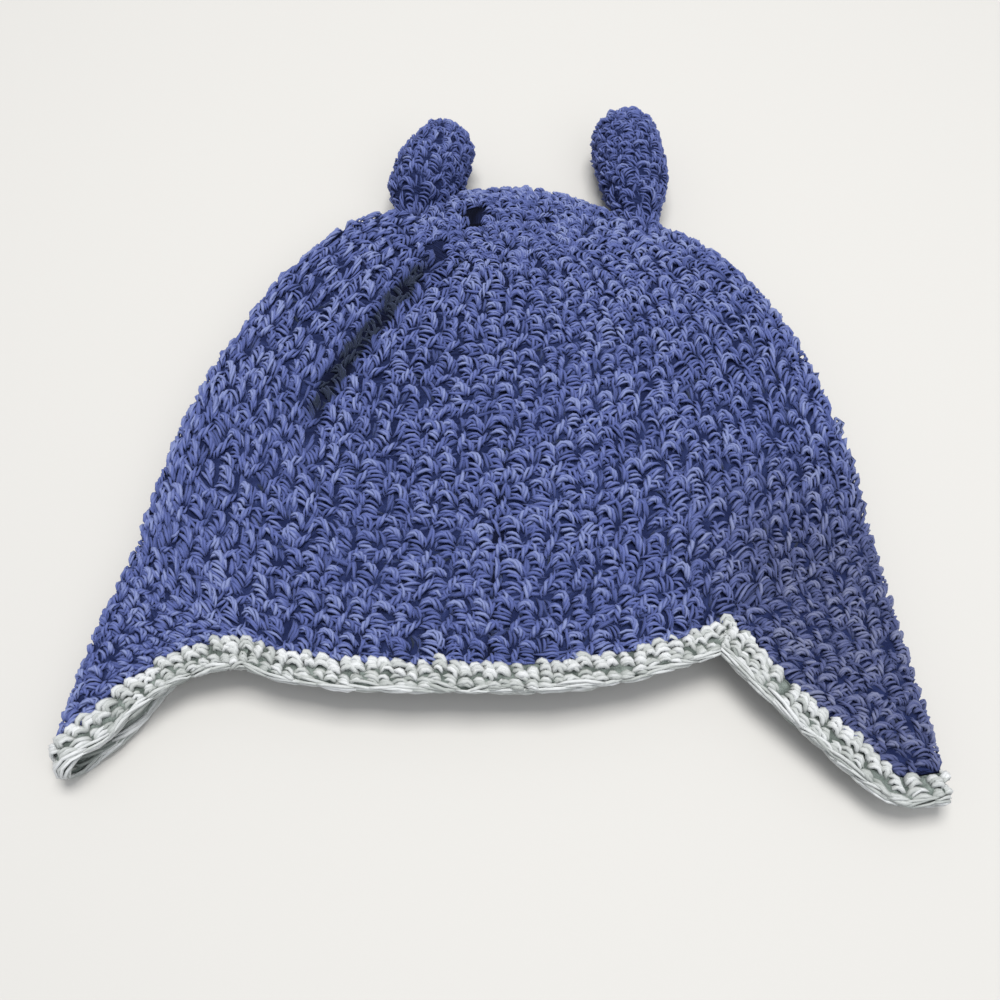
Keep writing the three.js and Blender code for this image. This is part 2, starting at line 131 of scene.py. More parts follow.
def body_points(at, turn):
    """Outer surface. turn goes from the left fold (0) over the front to the right fold (2) and back under."""
    turn = np.mod(turn, 4.0)[None, :]
    quarter = np.floor(turn).astype(int)
    f = turn - quarter
    f = np.where(quarter % 2 == 0, f, 1 - f)
    side = np.where((quarter == 0) | (quarter == 3), -1, 1)
    layer = np.where(quarter < 2, 1, -1)
    steps = np.where(layer > 0, FRONT, BACK)
    over = CAP + steps * (f - FOLD_SHARE) / (1 - FOLD_SHARE)
    step = np.where(f < FOLD_SHARE, CAP * f / FOLD_SHARE, over)
    r = rounds_at(at)
    half = FLAT_WIDTH / 2
    fold_z = np.minimum(r["fold"] * FOLD_HEIGHT / 2, LOFT * r["frontZ"])
    side_x = np.where(side < 0, -r["leftX"], r["rightX"])
    side_y = np.where(side < 0, r["leftY"], r["rightY"])
    mid_y = np.where(layer > 0, r["frontY"], r["backY"])
    mid_z = np.where(layer > 0, r["frontZ"], np.maximum(r["backZ"], 0)) * LOFT
    bend = np.where(side < 0, r["bendL"], r["bendR"])
    cap_share = np.minimum(fold_z / np.maximum(np.abs(side_x) * half, 1e-6), 0.5)
    cap_rise = np.minimum(fold_z / np.maximum(np.abs(mid_z - fold_z), 1e-6), 1)
    angle = step / (CAP + steps) * np.pi / 2
    ring_out, ring_rise = np.cos(angle), np.sin(angle)
    cap_angle = np.minimum(step / CAP, 1) * np.pi / 2
    t = np.clip(1 - (step - CAP) / steps, 0, 1)
    in_cap = step <= CAP
    tube_out = np.where(in_cap, 1 - cap_share * (1 - np.cos(cap_angle)), (1 - cap_share) * t)
    tube_rise = np.where(in_cap, cap_rise * np.sin(cap_angle), cap_rise + (1 - cap_rise) * (1 - t * t) ** 2)
    flat = np.clip(r["flat"], 0, 1)
    out = np.maximum(ring_out + (tube_out - ring_out) * flat, 0)
    rise = ring_rise + (tube_rise - ring_rise) * flat
    ring_bend = 1 - np.sqrt(np.maximum(1 - out * out, 0))
    turned = ring_bend + (out**bend - ring_bend) * flat
    x = START_X * (1 - at)[:, None] + side_x * half * out
    y = -BODY_LENGTH * (mid_y + (side_y - mid_y) * turned)
    z = fold_z + (mid_z - fold_z) * rise
    return np.stack([x, y, z], axis=-1)


def near_dent(points):
    """Distance to the dent's line, and the share along it, of each point."""
    line = DENT * np.array([FLAT_WIDTH / 2, -BODY_LENGTH])
    nearest = np.full(points.shape[:-1], 1e9)
    share = np.zeros(points.shape[:-1])
    for i in range(len(line) - 1):
        way = line[i + 1] - line[i]
        t = np.clip(((points[..., :2] - line[i]) @ way) / (way @ way), 0, 1)
        distance = np.linalg.norm(points[..., :2] - line[i] - t[..., None] * way, axis=-1)
        closer = distance < nearest
        nearest = np.where(closer, distance, nearest)
        share = np.where(closer, (i + t) / (len(line) - 1), share)
    return nearest, share


def unit(v):
    return v / np.maximum(np.linalg.norm(v, axis=-1, keepdims=True), 1e-9)


def grid_normals(points, periodic):
    down = np.gradient(points, axis=0)
    if periodic:
        across = np.roll(points, -1, axis=1) - np.roll(points, 1, axis=1)
    else:
        across = np.gradient(points, axis=1)
    return unit(np.cross(down, across))


class Patch:
    """A surface, looked up by the share down its rows, the share of length along a row, and a height."""

    def __init__(self, points, periodic, normals=None, columns=1024):
        normals = grid_normals(points, periodic) if normals is None else normals
        self.periodic = periodic
        if periodic:
            points = np.concatenate([points, points[:, :1]], axis=1)
            normals = np.concatenate([normals, normals[:, :1]], axis=1)
        rows = []
        self.lengths = []
        shares = np.linspace(0, 1, columns + 1)
        for p, n in zip(points, normals):
            s = np.concatenate([[0], np.cumsum(np.linalg.norm(np.diff(p, axis=0), axis=1))])
            self.lengths.append(s[-1])
            both = np.concatenate([p, n], axis=1)
            rows.append(np.stack([np.interp(shares * s[-1], s, both[:, k]) for k in range(6)], axis=1))
        self.grid = np.array(rows)
        self.lengths = np.array(self.lengths)
        self.columns = columns

    def length(self, v):
        return float(np.interp(v, np.linspace(0, 1, len(self.lengths)), self.lengths))

    def at(self, v, f, w):
        """Points and normals at arrays of shares v and f and heights w."""
        rows = len(self.grid)
        y = np.clip(v, 0, 1) * (rows - 1)
        x = (np.mod(f, 1.0) if self.periodic else np.clip(f, 0, 1)) * self.columns
        i = np.clip(np.floor(y).astype(int), 0, rows - 2)
        j = np.clip(np.floor(x).astype(int), 0, self.columns - 1)
        a, b = (y - i)[..., None], (x - j)[..., None]
        g = self.grid
        upper = g[i, j] * (1 - b) + g[i, j + 1] * b
        lower = g[i + 1, j] * (1 - b) + g[i + 1, j + 1] * b
        found = upper * (1 - a) + lower * a
        normal = unit(found[..., 3:])
        return found[..., :3] + normal * np.asarray(w)[..., None], normal


def body_patch():
    at = np.linspace(0.012, 1, 160)
    turn = np.linspace(0, 4, 481)[:-1] + 1.0  # from the middle of the front towards the right fold
    points = body_points(at, turn)
    normals = grid_normals(points, True)
    nearest, share = near_dent(points)
    depth = DENT_DEPTH * np.sin(np.pi * share) * np.exp(-((nearest / (DENT_WIDTH / 2)) ** 2))
    points = points - normals * (depth * np.maximum(normals[..., 2], 0))[..., None]
    return Patch(points, True)


def flap_points(flap, w, k):
    """An earflap's outer surface. w goes from brim to tip and k from the front corner to the back one."""
    side, half = flap["side"], FLAT_WIDTH / 2
    in_front = k <= 0
    columns = np.where(in_front, flap["frontCols"], flap["backCols"])
    step = np.abs(k) * (CAP + columns)
    quarter = np.where(in_front, turn_of(step, 1), turn_of(step, -1))
    if side < 0:
        turn = np.where(in_front, quarter, 4 - quarter)
    else:
        turn = np.where(in_front, 2 - quarter, 2 + quarter)
    start = body_points(np.array([1.0]), turn)[0]
    fold = rounds_at(np.array([1.0]))
    fold_y = -BODY_LENGTH * float(fold["leftY" if side < 0 else "rightY"][0, 0])
    radius = TIP_THICKNESS / 2

    def place(x, y):
        return np.array([side * x * half, fold_y - y * FLAP_LENGTH])

    tip_fold = place(flap["foldX"], flap["foldY"])
    corner = np.where(
        in_front[:, None], place(flap["frontX"], flap["frontY"]), place(flap["backX"], flap["backY"])
    )
    width = np.maximum(np.abs(corner[:, 0] - tip_fold[0]), LEAST_TIP_WIDTH)
    angle = np.minimum(step / CAP, 1) * np.pi / 2
    inwards = radius * (1 - np.cos(angle)) + (width - radius) * np.maximum(step - CAP, 0) / columns
    tip = np.stack([
        tip_fold[0] - side * inwards,
        tip_fold[1] + (corner[:, 1] - tip_fold[1]) * inwards / width,
        radius + np.where(in_front, 1, -1) * radius * np.sin(angle),
    ], axis=1)
    w = w[:, None, None]
    points = start[None] * (1 - w) + tip[None] * w
    share = np.abs(k)[None, :]
    bow = 4 * w[..., 0] * (1 - w[..., 0]) * FLAP_LENGTH
    points[..., 1] += bow * flap["bow"] * share * np.where(in_front, 1, BACK_BOW)[None, :]
    points[..., 0] += side * bow * (flap["bow"] * SIDEWAYS_BOW * share + flap["bowFold"] * (1 - share))
    return points, turn


def flap_patch(flap):
    w, k = np.linspace(0, 1, 50), np.linspace(-1, 1, 161)
    points, _ = flap_points(flap, w, k)
    if flap["side"] < 0:
        points = points[:, ::-1]
    return Patch(points, False, columns=512)


def ear_patch(i, ear):
    """An ear from its tip to its foot."""
    half = FLAT_WIDTH / 2
    sink = ear["length"] * EAR_SINK
    foot = np.array([ear["footX"] * half, -ear["footY"] * BODY_LENGTH - sink, EAR_FOOT_HEIGHT])
    tip_y = -ear["footY"] * BODY_LENGTH + ear["length"]
    tip = np.array([ear["tipX"] * half, tip_y, ear["width"] / 2 + EAR_REST])
    whole = ear["length"] + sink
    stops = np.concatenate([[0], (sink + EAR_GIRTH[:, 0] * ear["length"]) / whole])
    girths = np.concatenate([[EAR_BURIED_GIRTH], EAR_GIRTH[:, 1 + i]])
    # The last stretch is rounded off, so that the tip is a dome.
    t = 1 - np.linspace(0.0, 1, 70) ** 1.5 * (1 - EAR_START)
    axis = foot + (tip - foot) * t[:, None]
    axis[:, 0] += ear["lean"] * ear["length"] * 4 * t * (1 - t)
    way = unit(np.gradient(axis, axis=0))
    across = unit(np.cross(np.array([0, 0, 1.0]), way))
    upwards = np.cross(way, across)
    radius = np.interp(t, stops, girths)
    dome_from = 1 - EAR_DOME
    dome = np.sqrt(np.clip(1 - ((t - dome_from) / EAR_DOME) ** 2, 0, 1))
    top = np.interp(dome_from, stops, girths)
    rounded = np.minimum(np.maximum(radius, top * dome), top * dome + EAR_DOME_SLACK)
    radius = np.where(t > dome_from, rounded, radius)
    radius = radius * ear["width"] / 2
    angle = np.linspace(0, 2 * np.pi, 97)[:-1]
    points = axis[:, None] + radius[:, None, None] * (
        np.cos(angle)[None, :, None] * across[:, None] + np.sin(angle)[None, :, None] * upwards[:, None]
    )
    normals = grid_normals(points, True)
    if np.mean(np.sum(normals * (points - axis[:, None]), axis=-1)) < 0:
        points = points[:, ::-1]
        normals = grid_normals(points, True)
    points[..., 2] = np.maximum(points[..., 2], EAR_REST)
    return Patch(points, True, normals, columns=256)


class Edging:
    """The closed line round brim and earflaps, with its rounded section."""

    def __init__(self, flaps):
        w, k = np.linspace(0, 1, 41), np.linspace(-1, 1, 61)
        sheets = []
        for flap in flaps:
            points, turn = flap_points(flap, w, k)
            flip = flap["side"] < 0
            normals = grid_normals(points[:, ::-1] if flip else points, False)
            sheets.append((points, normals[:, ::-1] if flip else normals, turn))
        (left, left_n, left_turn), (right, right_n, right_turn) = sheets
        steps = 800
        brim = body_points(np.array([0.98, 1.0]), np.linspace(0, 4, steps + 1)[:-1])
        brim_n = grid_normals(brim, True)[1]

        def along_brim(a, b):
            turn = np.linspace(a, b, 61)[1:-1]
            x = np.mod(turn, 4) * (steps // 4)
            j = np.floor(x).astype(int) % steps
            share = (x - np.floor(x))[:, None]
            p = brim[1][j] * (1 - share) + brim[1][(j + 1) % steps] * share
            return p, unit(brim_n[j] * (1 - share) + brim_n[(j + 1) % steps] * share)

        runs = [
            along_brim(left_turn[0], right_turn[0]),
            (right[:, 0], right_n[:, 0]),
            (right[-1], right_n[-1]),
            (right[::-1, -1], right_n[::-1, -1]),
            along_brim(right_turn[-1], left_turn[-1]),
            (left[:, -1], left_n[:, -1]),
            (left[-1, ::-1], left_n[-1, ::-1]),
            (left[::-1, 0], left_n[::-1, 0]),
        ]
        points = np.concatenate([r[0] for r in runs])
        normals = np.concatenate([r[1] for r in runs])
        points = points - normals * WALL / 2
        closed = np.concatenate([points, points[:1]])
        s = np.concatenate([[0], np.cumsum(np.linalg.norm(np.diff(closed, axis=0), axis=1))])
        self.length = s[-1]
        self.count = int(self.length * 2)
        even = np.linspace(0, self.length, self.count + 1)[:-1]
        normals = np.concatenate([normals, normals[:1]])

        def evenly(rows):
            return np.stack([np.interp(even, s, rows[:, k]) for k in range(3)], axis=1)

        self.points = self.smooth(evenly(closed), 3)
        self.normals = unit(self.smooth(evenly(normals), 5))
        run = np.roll(self.points, -1, axis=0) - np.roll(self.points, 1, axis=0)
        self.out = unit(self.smooth(unit(np.cross(unit(run), self.normals)), 7))

    @staticmethod
    def smooth(v, reach):
        return sum(np.roll(v, k, axis=0) for k in range(-reach, reach + 1)) / (2 * reach + 1)

    def at(self, s, a, w):
        """Point and normal at s mm along the line, a mm over its section from the front, and height w."""
        x = np.mod(s / self.length, 1.0) * self.count
        j = np.floor(x).astype(int) % self.count
        b = (x - np.floor(x))[..., None]

        def between(rows):
            return rows[j] * (1 - b) + rows[(j + 1) % self.count] * b

        p, n, o = between(self.points), unit(between(self.normals)), unit(between(self.out))
        h = EDGING_THICKNESS / 2
        straight = EDGING_DEPTH - h
        angle = np.clip((a - straight) / h, 0, np.pi)
        past = np.maximum(a - straight - np.pi * h, 0)
        out = np.where(a < straight, a, straight - past) + h * np.sin(angle)
        up = h * np.cos(angle)
        normal = o * np.sin(angle)[..., None] + n * np.cos(angle)[..., None]
        return p + o * out[..., None] + n * up[..., None] + normal * w[..., None], normal


# Yarn: every visible strand is a thin tube, laid on the surface by a table of places in one stitch.

rng = np.random.default_rng(11)
STITCH, ROUND = 6.2, 9.9  # width and height of one stitch
ROUND_COUNT = 13.8  # rounds from the starting ring to the brim


def curve(places, count):
    """Evenly spaced points on a smooth line through a few places (rows of x, y, height)."""
    places = np.array(places, dtype=float)
    slopes = np.gradient(places, axis=0)
    fine = []
    for i in range(len(places) - 1):
        t = np.linspace(0, 1, 13)[:, None][: 12 if i + 2 < len(places) else 13]
        fine.append(smooth_step(t, 1, places[i], slopes[i], places[i + 1], slopes[i + 1]))
    fine = np.concatenate(fine)
    run = np.concatenate([[0], np.cumsum(np.linalg.norm(np.diff(fine, axis=0), axis=1))])
    even = np.linspace(0, run[-1], count)
    return np.stack([np.interp(even, run, fine[:, k]) for k in range(3)], axis=1), run[-1]


# One stitch, from lengths of yarn, for the upper side and a plainer one for underneath. x runs from the
# stitch's left side and y from its top, and height is over the solid's surface. Each row is a
# length: its number of plies, the length of one turn of their twist (0 where they lie side by side), the
# way from the middle to each ply (or the step from one to the next, in x and y), the plies' radius, the
# points along them, and the places (x, y, height) it goes through.
STITCH_YARN = [
    (4, 7.5, (0.52, 0.0), 0.48, 9, [
        (-0.1, 2.2, -1.8), (0.8, 1.1, -0.85), (2.1, 0.8, -0.60), (3.5, 1.9, -0.75), (4.6, 3.8, -1.9),
    ]),
    (5, 0.0, (0.16, 1.06), 0.45, 6, [
        (0.3, 2.9, -1.8), (1.1, 2.75, -0.90), (2.4, 2.75, -0.68), (3.6, 3.2, -0.90), (4.4, 3.9, -1.8),
    ]),
    (3, -6.0, (0.62, 0.0), 0.47, 7, [
        (6.7, 4.4, -2.3), (6.0, 6.2, -1.10), (5.2, 8.0, -0.95), (4.4, 10.2, -2.1),
    ]),
    (3, 6.0, (0.62, 0.0), 0.47, 7, [
        (-0.9, 7.6, -2.1), (0.7, 7.2, -1.05), (2.2, 8.1, -0.95), (3.1, 10.1, -2.1),
    ]),
    (3, 0.0, (0.85, 0.25), 0.52, 5, [(4.2, -0.9, -2.2), (5.4, 0.9, -1.4), (5.6, 4.6, -2.2)]),
    (3, 0.0, (0.0, 1.30), 0.52, 5, [(-0.8, 5.9, -2.2), (1.5, 6.1, -1.5), (5.8, 5.6, -2.2)]),
    (1, 0.0, (0.0, 0.0), 0.62, 4, [(-0.6, 10.0, -2.4), (2.4, 9.8, -1.7), (6.2, 9.4, -2.4)]),
]
PLAIN_YARN = [
    (3, 6.0, (0.80, 0.0), 0.66, 6, [
        (-0.6, 2.6, -1.9), (0.6, 0.9, -0.75), (2.2, 0.6, -0.40), (3.8, 2.1, -0.60), (4.9, 4.5, -2.0),
    ]),
    (3, 0.0, (0.12, 1.30), 0.72, 5, [
        (-0.1, 4.3, -1.9), (1.1, 3.5, -0.85), (2.6, 3.2, -0.55), (3.9, 3.7, -0.85), (4.6, 5.0, -1.9),
    ]),
    (2, -5.0, (0.65, 0.0), 0.72, 5, [
        (6.7, 4.4, -2.3), (6.0, 6.2, -1.10), (5.2, 8.0, -0.95), (4.4, 10.2, -2.1),
    ]),
    (2, 6.0, (0.55, 0.0), 0.66, 5, [
        (-0.9, 7.6, -2.1), (0.7, 7.2, -1.05), (2.2, 8.1, -0.95), (3.1, 10.1, -2.1),
    ]),
]

PLY_DROP = 0.10  # how much lower each ply lies than the one nearer the middle of its length
TWISTED_APART = 0.35  # how freely the plies of a twisted length part, against 1 for those side by side


def stitch(table, ends=0.32):
    """The lengths of yarn of one stitch, each a list of plies: rows of x, y, height and radius.

    A ply thins towards its ends to this share of its thickness.
    """
    lengths = []
    for number, twist, (step_x, step_y), thick, count, places in table:
        middle, length = curve(places, count)
        share = np.linspace(0, 1, count)
        radius = thick * (ends + (1 - ends) * np.sin(np.pi * share) ** 0.5)
        way = unit(np.gradient(middle, axis=0))
        side = unit(np.cross(way, np.array([0, 0, 1.0])))
        over = np.cross(side, way)
        plies = []
        for i in range(number):
            if twist:
                angle = (2 * np.pi * (i / number + share * length / twist))[:, None]
                place = middle + step_x * (np.cos(angle) * side + np.sin(angle) * over)
            else:
                place = middle + [i * step_x, i * step_y, -PLY_DROP * abs(i - (number - 1) / 2)]
            plies.append(np.concatenate([place, radius[:, None]], axis=1))
        lengths.append((plies, TWISTED_APART if twist else 1.0))
    return lengths


RIPPLES = 64  # bumps each way before a ripple repeats


def ripple(x, y, scale, seed):
    """Smooth uneven values over the plane, about -1 to 1, with bumps about scale wide."""
    lattice = np.random.default_rng(seed).uniform(-1, 1, (RIPPLES, RIPPLES))
    gx, gy = np.asarray(x) / scale, np.asarray(y) / scale
    i, j = np.floor(gx).astype(int), np.floor(gy).astype(int)
    u, v = gx - i, gy - j
    u, v = u * u * (3 - 2 * u), v * v * (3 - 2 * v)

    def at(a, b):
        return lattice[np.mod(a, RIPPLES), np.mod(b, RIPPLES)]

    low = at(i, j) * (1 - u) + at(i + 1, j) * u
    high = at(i, j + 1) * (1 - u) + at(i + 1, j + 1) * u
    return low * (1 - v) + high * v


STEEP = 0.4  # below this sine of the angle to the surface's normal, a tube takes its side from its whole run
THREAD_REACH = 500  # each strand starts at its own place in the fibres' pattern, within this far


def tubes(path, up, radius, sides):
    """Closed tubes along paths (n, k, 3). Returns vertices, quads, triangles and the place in each thread."""
    n, k, _ = path.shape
    way = unit(np.gradient(path, axis=1))
    side = np.cross(way, up)
    steep = np.linalg.norm(side, axis=-1, keepdims=True) < STEEP
    side = unit(np.where(steep, side.sum(axis=1, keepdims=True), unit(side)))
    side = unit(side - (side * way).sum(axis=-1, keepdims=True) * way)
    over = np.cross(side, way)
    angle = np.linspace(0, 2 * np.pi, sides + 1)[:-1]
    c, s = np.cos(angle)[None, None, :, None], np.sin(angle)[None, None, :, None]
    ring = path[:, :, None] + radius[:, :, None, None] * (c * side[:, :, None] + s * over[:, :, None])
    steps = np.linalg.norm(np.diff(path, axis=1), axis=2)
    run = np.concatenate([np.zeros((n, 1)), np.cumsum(steps, axis=1)], axis=1)
    start = rng.uniform(-THREAD_REACH, THREAD_REACH, (n, 1, 1, 3))
    thread = np.broadcast_to(start, (n, k, sides, 3)).copy()
    thread[..., 0] += radius[:, :, None] * np.cos(angle)
    thread[..., 1] += radius[:, :, None] * np.sin(angle)
    thread[..., 2] += run[:, :, None]
    index = np.arange(n * k * sides).reshape(n, k, sides)
    after = np.roll(index, -1, axis=2)
    quads = np.stack([index[:, :-1], index[:, 1:], after[:, 1:], after[:, :-1]], axis=-1).reshape(-1, 4)
    caps = []
    for a in range(1, sides - 1):
        caps.append(np.stack([index[:, 0, 0], index[:, 0, a], index[:, 0, a + 1]], axis=-1))
        caps.append(np.stack([index[:, -1, 0], index[:, -1, a + 1], index[:, -1, a]], axis=-1))
    return ring.reshape(-1, 3), quads, np.concatenate(caps), thread.reshape(-1, 3)


LEAST_HEIGHT = 0.02  # nothing goes lower, so that all stays on the surface the hat lies on
SHADE_X, SHADE_X_OVER, SHADE_Y, SHADE_Y_OVER = 40.0, 30.0, -90.0, 35.0  # where the right earflap's painted greyer shade starts
NO_TRIANGLES = np.zeros((0, 3), dtype=int)


class Heap:
    """Collects vertices, faces and their thread places for one piece."""

    def __init__(self):
        self.v, self.q, self.t, self.thread, self.tone_and_shade = [], [], [], [], []
        self.q_mat, self.t_mat = [], []
        self.count = 0

    def add(self, v, q, t, thread, tone_and_shade, material=0):
        """Adds vertices, quads, triangles, and each vertex's place in its thread and how light it is."""
        self.v.append(v)
        self.q.append(q + self.count)
        self.t.append(t + self.count)
        self.q_mat.append(np.full(len(q), material))
        self.t_mat.append(np.full(len(t), material))
        self.thread.append(thread)
        self.tone_and_shade.append(tone_and_shade)
        self.count += len(v)

    def piece(self, name, materials):
        """Makes the piece, which lies still with the hat."""
        v = np.concatenate(self.v)
        v[:, 2] = np.maximum(v[:, 2], LEAST_HEIGHT)
        # Painted shade: towards the right earflap the yarn is painted greyer and darker.
        right = np.clip((v[:, 0] - SHADE_X) / SHADE_X_OVER, 0, 1)
        shade_share = right * np.clip((SHADE_Y - v[:, 1]) / SHADE_Y_OVER, 0, 1)
        v = (v + SHIFT) * MM
        q, t = np.concatenate(self.q), np.concatenate(self.t)
        mesh = bpy.data.meshes.new(name)
        mesh.vertices.add(len(v))
        mesh.vertices.foreach_set("co", v.astype(np.float32).ravel())
        loops = np.concatenate([q.ravel(), t.ravel()]).astype(np.int32)
        starts = np.concatenate([np.arange(len(q)) * 4, len(q) * 4 + np.arange(len(t)) * 3]).astype(np.int32)
        mesh.loops.add(len(loops))
        mesh.loops.foreach_set("vertex_index", loops)
        mesh.polygons.add(len(starts))
        mesh.polygons.foreach_set("loop_start", starts)
        mesh.polygons.foreach_set("use_smooth", np.ones(len(starts), dtype=bool))
        slots = np.concatenate(self.q_mat + self.t_mat).astype(np.int32)
        mesh.polygons.foreach_set("material_index", slots)
        mesh.update(calc_edges=True)
        for key, kind, field, values in [
            ("thread", "FLOAT_VECTOR", "vector", np.concatenate(self.thread)),
            ("tone_and_shade", "FLOAT", "value", np.concatenate(self.tone_and_shade)),
            ("right_shade", "FLOAT", "value", shade_share),
        ]:
            made = mesh.attributes.new(key, kind, "POINT")
            made.data.foreach_set(field, values.astype(np.float32).ravel())
        for material in materials:
            mesh.materials.append(material)
        made = bpy.data.objects.new(name, mesh)
        bpy.context.scene.collection.objects.link(made)
        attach(made, "root")
        print(name, "triangles", len(q) * 2 + len(t))
        return made


# How uneven stitches, their lengths of yarn and their plies are: usual errors in mm, radians or shares.
STITCH_TURN, STITCH_SHIFT, STITCH_LIFT, STITCH_GROWTH = 0.17, 0.45, 0.12, 0.07
LENGTH_TURN, LENGTH_SHIFT, LENGTH_BEND, LENGTH_GROWTH = 0.15, 0.22, 0.25, 0.09
PLY_SHIFT, PLY_GROWTH, PLY_TONE, PLY_THICKNESS = 0.26, 0.16, 0.10, 0.08
POINT_SHIFT, POINT_THICKNESS = 0.07, 0.09
# Painted shade and light by height over the surface:
DARK_DEPTH, TONE_REACH = 2.6, 2.3  # strands this deep are darkest, and this much higher lightest


def lay(heap, where, lengths, origins, sides, uneven=1.0, shade=None, size=1.0, mottle=0.06):
    """Lays the yarn of a stitch at every origin. where(x, y, height, origins) gives points and normals."""
    n = len(origins)
    size = np.broadcast_to(size, (n,))[:, None]
    turn = rng.normal(0, STITCH_TURN * uneven, (n, 1))
    grow = np.clip(rng.normal(1.03, STITCH_GROWTH * uneven, (n, 1)), 0.9, 1.15)
    nudge = rng.normal(0, STITCH_SHIFT * uneven, (n, 2))
    lift = np.clip(rng.normal(0, STITCH_LIFT, (n, 1)), -0.25, 0.2)
    mood = rng.normal(0, mottle, (n, 1))
    for plies, apart in lengths:
        middle = np.mean([ply[:, :2].mean(axis=0) for ply in plies], axis=0)
        own = rng.normal(0, LENGTH_TURN * uneven, (n, 1))
        moved = rng.normal(0, LENGTH_SHIFT * uneven, (n, 3)) * [1, 1, 0.6]
        bend = rng.normal(0, LENGTH_BEND * uneven, (n, 1))
        longer = np.clip(rng.normal(1, LENGTH_GROWTH * uneven, (n, 1)), 0.85, 1.15)
        for ply in plies:
            share = np.linspace(0, 1, len(ply))
            single = np.clip(rng.normal(0, PLY_SHIFT, (n, 4)), -0.5, 0.5) * uneven * apart
            stroke = np.clip(rng.normal(1, PLY_GROWTH * apart, (n, 1)), 0.7, 1.15)
            x0 = (ply[None, :, 0] - middle[0]) * stroke + single[:, :1]
            y0 = ply[None, :, 1] - middle[1] + bend * np.sin(np.pi * share) + single[:, 1:2]
            angle = own + 0.8 * single[:, 3:]
            c, s = np.cos(angle), np.sin(angle)
            x1 = middle[0] + moved[:, :1] + (x0 * c - y0 * s) * longer - STITCH / 2
            y1 = middle[1] + moved[:, 1:2] + (x0 * s + y0 * c) * longer - ROUND / 2
            c, s = np.cos(turn), np.sin(turn)
            x = (x1 * c - y1 * s) * grow + STITCH / 2 + nudge[:, :1]
            y = (x1 * s + y1 * c) * grow + ROUND / 2 + nudge[:, 1:]
            height = ply[None, :, 2] + lift + moved[:, 2:] + 0.8 * single[:, 2:3]
            kink = rng.normal(0, POINT_SHIFT, (3, *height.shape))
            path, normal = where(x + kink[0], y + kink[1], height * size + kink[2], origins)
            thickness = rng.normal(1, PLY_THICKNESS, (n, 1)) * ply[None, :, 3]
            radius = thickness * rng.normal(1, POINT_THICKNESS, height.shape) * size
            v, q, t, thread = tubes(path, normal, np.broadcast_to(radius, height.shape), sides)
            # Painted shade: strands lying deeper are painted darker and higher ones lighter; random tone per
            # ply and per stitch comes on top.
            risen = np.clip((height + DARK_DEPTH) / TONE_REACH, 0, 1)
            tone_and_shade = risen * 0.85 + rng.normal(0, PLY_TONE, (n, 1)) + mood + 0.02
            if shade is not None:
                tone_and_shade = tone_and_shade * shade(path)
            heap.add(v, q, t, thread, np.repeat(tone_and_shade.ravel(), sides))


def on_patch(patch, rounds, warp=None):
    """A stitch's places on a patch. Origins: its round, number, stitches in the round, share of the round."""

    def where(x, y, height, origins):
        v = (origins[:, 0:1] + y / ROUND * origins[:, 3:4]) / rounds
        f = (origins[:, 1:2] + x / STITCH) / origins[:, 2:3]
        if warp:
            v, f = warp(v, f)
        return patch.at(v, f, height)

    return where


SEEN_FROM = -0.35  # stitches whose normal rises at least this much are fine ones


def cover(heap, patch, rounds, origins, **options):
    """Lays fine stitches on the upper side of a patch and plain ones underneath."""
    origins = np.array(origins, dtype=float)
    v, f = (origins[:, 0] + 0.5) / rounds, (origins[:, 1] + 0.5) / origins[:, 2]
    upper = patch.at(v, f, np.zeros(len(v)))[1][:, 2] > SEEN_FROM
    lay(heap, on_patch(patch, rounds), fine, origins[upper], 4, **options)
    lay(heap, on_patch(patch, rounds), plain, origins[~upper], 3, **options)


SKIN_INSIDE = 0.2 - WALL  # height of the inner side of the skin behind the stitches


def core(heap, patch, rows, columns, outer, inner, material=0, shade=None):
    """A closed skin between two heights on a patch, behind the stitches."""
    v = np.linspace(0, 1, rows)
    f = np.linspace(0, 1, columns + 1)
    f = f[:-1] if patch.periodic else f
    vv, ff = np.meshgrid(v, f, indexing="ij")
    n = len(f)
    skins = [patch.at(vv, ff, np.full(vv.shape, height))[0] for height in (outer, inner)]
    points = np.concatenate([skin.reshape(-1, 3) for skin in skins])

    def quads(*corners):
        return np.stack(corners, axis=-1).reshape(-1, 4)

    a = np.arange(rows * n).reshape(rows, n)
    b = a + rows * n
    if patch.periodic:
        a, b = (np.concatenate([g, g[:, :1]], axis=1) for g in (a, b))
    a0, a1, b0, b1 = a[:, :-1], a[:, 1:], b[:, :-1], b[:, 1:]
    faces = [
        quads(a0[:-1], a0[1:], a1[1:], a1[:-1]),
        quads(b0[1:], b0[:-1], b1[:-1], b1[1:]),
        quads(a0[-1:], b0[-1:], b1[-1:], a1[-1:]),
        quads(b0[:1], a0[:1], a1[:1], b1[:1]),
    ]
    if not patch.periodic:
        faces.append(quads(a[:-1, 0], b[:-1, 0], b[1:, 0], a[1:, 0]))
        faces.append(quads(a[1:, -1], b[1:, -1], b[:-1, -1], a[:-1, -1]))
    lengths = np.interp(vv, np.linspace(0, 1, len(patch.lengths)), patch.lengths)
    thread = np.stack([ff * lengths, vv * rows * 2.0, np.zeros(vv.shape)], axis=-1).reshape(-1, 3)
    tone_and_shade = shade(points) if shade else np.ones(len(points))
    heap.add(points, np.concatenate(faces), NO_TRIANGLES, np.concatenate([thread, thread]), tone_and_shade, material)


# Materials


def node(tree, kind, output, inputs=None, **settings):
    """An output of a new node, whose inputs, by name or number, are given values or other outputs."""
    made = tree.nodes.new(kind)
    for key, value in settings.items():
        setattr(made, key, value)
    for key, value in (inputs or {}).items():
        if isinstance(value, bpy.types.NodeSocket):
            tree.links.new(value, made.inputs[key])
        else:
            made.inputs[key].default_value = value
    return made.outputs[output]


